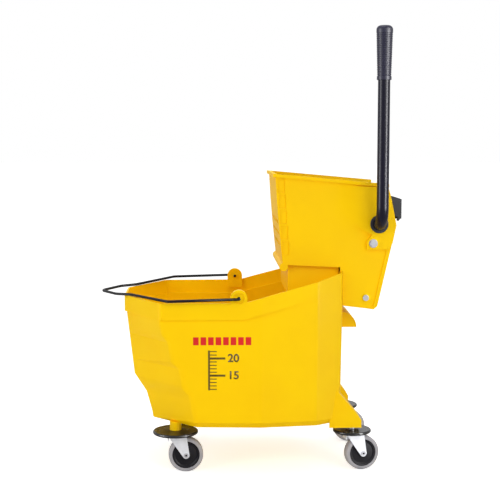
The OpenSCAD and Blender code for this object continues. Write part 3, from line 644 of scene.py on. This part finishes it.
# %% The press, the lever and their fittings
FITTINGS = [
    ("bearing_bolts", "wringer", ZINC, "zinc", 0.4), ("press_rod", "wringer", ZINC, "zinc", 0.4),
    ("press_rod_caps", "wringer", ZINC, "zinc", 0.5),
    ("shaft_bush_left", "wringer", BLACK, "black_plastic", 0.8),
    ("shaft_bush_right", "wringer", BLACK, "black_plastic", 0.8),
    ("press_plate", "press_plate", BLACK, "black_plastic", 0.6),
    ("rack_left", "press_plate", BLACK, "black_plastic", 0.5),
    ("rack_right", "press_plate", BLACK, "black_plastic", 0.5),
    ("rack_tie_bar", "press_plate", BLACK, "black_plastic", 1.0),
    ("rack_bolts", "press_plate", ZINC, "zinc", 0.3),
    ("lever", "lever", TUBE, "black_tube", 0.5), ("grip", "lever", GRIP, "black_grip", 0.3),
    ("pinion_left", "lever", BLACK, "black_plastic", 0.3),
    ("pinion_right", "lever", BLACK, "black_plastic", 0.3),
    ("pinion_pins", "lever", ZINC, "zinc", 0.3),
    ("shaft_cap", "lever", BLACK, "black_plastic", 0.8),
]
for node, body, material, slot, radius in FITTINGS:
    piece = round_edges(merged_copy(node, node + "_finished"), radius * MM)
    dress(piece, body, material, [node])

# %% [markdown]
# ## Light, floor and camera
# A plain studio: white world for what the camera and the reflections see, an even level of
# ambient light, three large soft lamps and a pale floor. Black gloss on a white ground needs
# something bright to reflect, so two tall strips stand at the sides. They are switched off for
# diffuse rays: they draw a line of light down the lever and the grip, and light nothing else.
# The camera has a long lens and looks a little down, as for a catalogue picture.

# %% World
AMBIENT = 0.62  # strength of the world for diffuse rays; other rays see full white
world = bpy.data.worlds.new("studio")
bpy.context.scene.world = world
world.use_nodes = True
sky = world.node_tree
backdrop = sky.nodes["Background"]
path = sky.nodes.new("ShaderNodeLightPath")
seen = math_node(sky, "MAXIMUM", path.outputs["Is Camera Ray"], path.outputs["Is Glossy Ray"])
seen = math_node(sky, "MAXIMUM", seen, path.outputs["Is Transmission Ray"])
backdrop.inputs["Color"].default_value = (1, 1, 1, 1)
whiter = math_node(sky, "MULTIPLY", seen, 1 - AMBIENT)
sky.links.new(math_node(sky, "ADD", whiter, AMBIENT), backdrop.inputs["Strength"])
print("world strength", AMBIENT, "to 1")

# %% Floor
FLOOR_REACH = 30
FLOOR_GLOW = 0.6  # lifts the floor to white for the camera and leaves its shadow
floor_mesh = bpy.data.meshes.new("floor")
corners = [(FLOOR_REACH * x, FLOOR_REACH * y, 0) for x, y in ((-1, -1), (1, -1), (1, 1), (-1, 1))]
floor_mesh.from_pydata(corners, [], [(0, 1, 2, 3)])
floor = bpy.data.objects.new("floor", floor_mesh)
bpy.context.scene.collection.objects.link(floor)
pale = bpy.data.materials.new("pale_floor")
pale.use_nodes = True
pale_shader = pale.node_tree.nodes["Principled BSDF"]
pale_shader.inputs["Base Color"].default_value = (0.86, 0.86, 0.86, 1)
pale_shader.inputs["Roughness"].default_value = 0.9
pale_shader.inputs["Specular IOR Level"].default_value = 0.1
pale_shader.inputs["Emission Color"].default_value = (1, 1, 1, 1)
pale_path = pale.node_tree.nodes.new("ShaderNodeLightPath")
glow = math_node(pale.node_tree, "MULTIPLY", pale_path.outputs["Is Camera Ray"], FLOOR_GLOW)
pale.node_tree.links.new(glow, pale_shader.inputs["Emission Strength"])
floor_mesh.materials.append(pale)
print("floor", 2 * FLOOR_REACH, "m wide")


# %% Lamps
def soft_lamp(name, place, target, width, height, power):
    """A rectangular area lamp at place that faces target."""
    lamp = bpy.data.lights.new(name, "AREA")
    lamp.shape = "RECTANGLE"
    lamp.size = width
    lamp.size_y = height
    lamp.energy = power
    holder = bpy.data.objects.new(name, lamp)
    bpy.context.scene.collection.objects.link(holder)
    holder.location = place
    holder.rotation_euler = (Vector(target) - Vector(place)).to_track_quat("-Z", "Y").to_euler()
    return holder


middle = (cad_low + cad_high) / 2
soft_lamp("key", (1.1, -2.1, 1.5), middle, 0.9, 0.9, 14)
soft_lamp("fill", (-1.7, -1.3, 0.9), middle, 0.9, 0.9, 9)
soft_lamp("top", (0.0, 0.1, 2.4), middle, 1.2, 1.2, 15)

# %% Two tall strips that only show in gloss
for side, place, width, power in (
    ("right", (1.75, -1.35, 0.9), 0.3, 150), ("left", (-1.95, -0.75, 0.9), 0.2, 70)
):
    strip = soft_lamp(side + "_strip", place, middle, width, 1.8, power)
    strip.visible_diffuse = False
print("lamps", [lamp.name for lamp in bpy.data.lights])

# %% Camera
LOOK_DOWN = 5.69  # degrees
LOOK_ASIDE = 2.03  # degrees to the rear
camera_data = bpy.data.cameras.new("camera")
camera_data.lens = 80.3
camera_data.sensor_width = 36
camera = bpy.data.objects.new("camera", camera_data)
bpy.context.scene.collection.objects.link(camera)
camera.location = (-0.0828, -2.4776, 0.7159)
camera.rotation_euler = (math.radians(90 - LOOK_DOWN), 0, math.radians(-LOOK_ASIDE))
bpy.context.scene.camera = camera
bpy.context.scene.view_settings.view_transform = "Standard"
print("camera lens", camera_data.lens, "mm")
